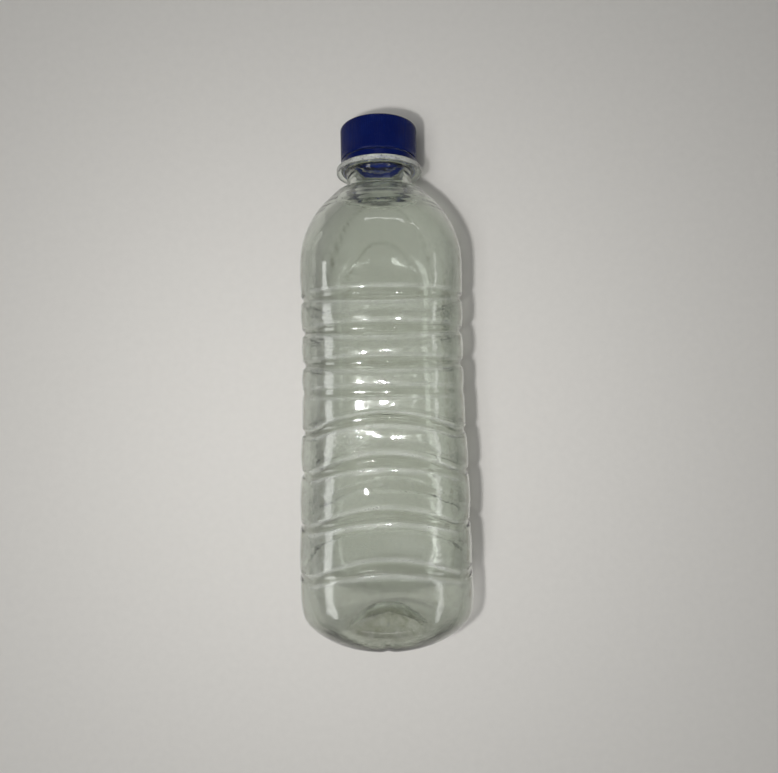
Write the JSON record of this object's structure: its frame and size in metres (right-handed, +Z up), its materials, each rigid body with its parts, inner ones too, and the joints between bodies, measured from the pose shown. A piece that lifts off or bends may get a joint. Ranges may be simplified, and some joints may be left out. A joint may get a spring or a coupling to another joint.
{
  "type": "crushed plastic bottle",
  "caption": "Empty clear plastic water bottle, lightly crushed, with a rounded-square ribbed body and a blue screw cap, lying on its side.",
  "frame": {"origin": "middle of the bottle's length and width, on the surface that it lies on", "axes": "+Y along the bottle from base to cap, +Z up from the surface it lies on, +X across"},
  "size_m": [0.064, 0.1936, 0.064],
  "materials": {
    "bottle": "clear blown PET, thin and slightly dusty",
    "cap": "moulded polyolefin, fine grip ribs, soft gloss",
    "tamper_band": "moulded polyolefin, soft gloss, torn bridges"
  },
  "bodies": {
    "bottle": {"bottle": "bottle"},
    "tamper_band": {"tamper_band": "tamper_band"},
    "cap": {"cap": "cap"}
  },
  "joints": [
    {"name": "cap_turn", "type": "hinge", "parent": "bottle", "child": "tamper_band", "pos_m": [0, 0.0885, 0.032], "axis": [0, 1, 0], "range_deg": [0, 650]},
    {"name": "cap_rise", "type": "slide", "parent": "tamper_band", "child": "cap", "axis": [0, 1, 0], "range_m": [0, 0.00487]}
  ],
  "couplings": [
    {"joint": "cap_rise", "follows": "cap_turn", "m_per_rad": 0.00042972}
  ]
}
